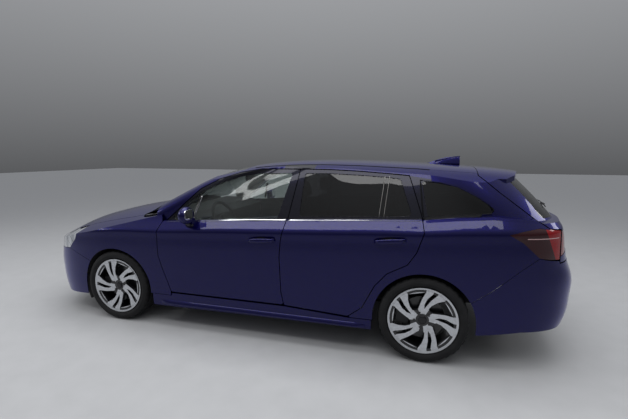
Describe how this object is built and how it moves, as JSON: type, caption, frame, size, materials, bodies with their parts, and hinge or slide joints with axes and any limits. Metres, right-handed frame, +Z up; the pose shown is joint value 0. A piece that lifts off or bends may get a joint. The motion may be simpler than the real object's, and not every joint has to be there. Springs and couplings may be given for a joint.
{
  "type": "station wagon",
  "caption": "Five-door station wagon with a long sloping roof, steered and rolling wheels, opening doors, hood and tailgate, and a hollow cabin with seats.",
  "frame": {"origin": "on the ground under the middle of the car's bounding box", "axes": "+X to the rear, +Y to the car's right, +Z up"},
  "size_m": [4.6959, 1.9982, 1.49],
  "materials": {
    "paint": "deep indigo blue metallic, gloss",
    "clear_glass": "clear, lightly tinted",
    "dark_glass": "dark tinted",
    "lamp_lens": "clear lens",
    "red_lens": "red lens",
    "black_plastic": "satin black",
    "tyre_rubber": "matt",
    "wheel_alloy": "machined faces on black",
    "iron": "dark cast and pressed parts",
    "steel": "dull",
    "floor_coat": "dark underbody coat",
    "tank_plastic": "black",
    "seat_cloth": "dark cloth",
    "cabin_plastic": "dark grained"
  },
  "bodies": {
    "body": {"centre_console": "cabin_plastic", "cowl": "black_plastic", "dashboard": "cabin_plastic", "engine": "iron", "engine_bay": "floor_coat", "exhaust": "steel", "front_axle": "iron", "front_bumper": "paint", "front_fenders": "paint", "front_floor": "floor_coat", "front_seats": "seat_cloth", "fuel_tank": "tank_plastic", "grille": "black_plastic", "headlamps": "lamp_lens", "quarter_glass": "dark_glass", "rear_axle": "iron", "rear_bumper": "paint", "rear_floor": "floor_coat", "rear_panel": "floor_coat", "rear_seat": "seat_cloth", "rear_wheel_houses": "floor_coat", "roof_panel": "paint", "side_frame_left": "paint", "side_frame_right": "paint", "sill_skirts": "paint", "taillamps": "red_lens", "windscreen": "clear_glass"},
    "door_front_left": {"door_front_left": "paint", "glass_front_left": "clear_glass", "mirror_left": "paint"},
    "door_front_right": {"door_front_right": "paint", "glass_front_right": "clear_glass", "mirror_right": "paint"},
    "door_rear_left": {"door_rear_left": "paint", "glass_rear_left": "dark_glass"},
    "door_rear_right": {"door_rear_right": "paint", "glass_rear_right": "dark_glass"},
    "hood": {"hood": "paint"},
    "tailgate": {"tailgate": "paint", "tailgate_glass": "dark_glass", "tailgate_lamps": "red_lens"},
    "steering_wheel": {"steering_wheel": "cabin_plastic"},
    "knuckle_front_left": {"knuckle_front_left": "iron"},
    "knuckle_front_right": {"knuckle_front_right": "iron"},
    "wheel_front_left": {"tyre_front_left": "tyre_rubber", "rim_front_left": "wheel_alloy"},
    "wheel_front_right": {"tyre_front_right": "tyre_rubber", "rim_front_right": "wheel_alloy"},
    "wheel_rear_left": {"tyre_rear_left": "tyre_rubber", "rim_rear_left": "wheel_alloy"},
    "wheel_rear_right": {"tyre_rear_right": "tyre_rubber", "rim_rear_right": "wheel_alloy"}
  },
  "joints": [
    {"name": "door_front_left_hinge", "type": "hinge", "parent": "body", "child": "door_front_left", "pos_m": [-0.88, -0.874, 0.65], "axis": [0, 0, -1], "range_deg": [0, 65]},
    {"name": "door_rear_left_hinge", "type": "hinge", "parent": "body", "child": "door_rear_left", "pos_m": [0.224, -0.874, 0.65], "axis": [0, 0, -1], "range_deg": [0, 65]},
    {"name": "door_front_right_hinge", "type": "hinge", "parent": "body", "child": "door_front_right", "pos_m": [-0.88, 0.874, 0.65], "axis": [0, 0, 1], "range_deg": [0, 65]},
    {"name": "door_rear_right_hinge", "type": "hinge", "parent": "body", "child": "door_rear_right", "pos_m": [0.224, 0.874, 0.65], "axis": [0, 0, 1], "range_deg": [0, 65]},
    {"name": "hood_hinge", "type": "hinge", "parent": "body", "child": "hood", "pos_m": [-1.125, 0, 1.04], "axis": [0, 1, 0], "range_deg": [0, 50]},
    {"name": "tailgate_hinge", "type": "hinge", "parent": "body", "child": "tailgate", "pos_m": [1.594, 0, 1.4], "axis": [0, -1, 0], "range_deg": [0, 75]},
    {"name": "steer_left", "type": "hinge", "parent": "body", "child": "knuckle_front_left", "pos_m": [-1.39, -0.72, 0.32], "axis": [0, 0, 1], "range_deg": [-33, 33]},
    {"name": "steer_right", "type": "hinge", "parent": "body", "child": "knuckle_front_right", "pos_m": [-1.39, 0.72, 0.32], "axis": [0, 0, 1], "range_deg": [-33, 33]},
    {"name": "steering_wheel_turn", "type": "hinge", "parent": "body", "child": "steering_wheel", "pos_m": [-0.56055, -0.37024, 0.89], "axis": [0.9063, 0, 0.4226], "range_deg": [-465, 465]},
    {"name": "wheel_front_left_spin", "type": "hinge", "parent": "knuckle_front_left", "child": "wheel_front_left", "pos_m": [-1.39, -0.765, 0.32], "axis": [0, 1, 0], "continuous": true},
    {"name": "wheel_front_right_spin", "type": "hinge", "parent": "knuckle_front_right", "child": "wheel_front_right", "pos_m": [-1.39, 0.765, 0.32], "axis": [0, 1, 0], "continuous": true},
    {"name": "wheel_rear_left_spin", "type": "hinge", "parent": "body", "child": "wheel_rear_left", "pos_m": [1.26, -0.77, 0.32], "axis": [0, 1, 0], "continuous": true},
    {"name": "wheel_rear_right_spin", "type": "hinge", "parent": "body", "child": "wheel_rear_right", "pos_m": [1.26, 0.77, 0.32], "axis": [0, 1, 0], "continuous": true}
  ],
  "couplings": [
    {"joint": "steer_right", "follows": "steer_left", "ratio": 1},
    {"joint": "steering_wheel_turn", "follows": "steer_left", "ratio": 14}
  ]
}
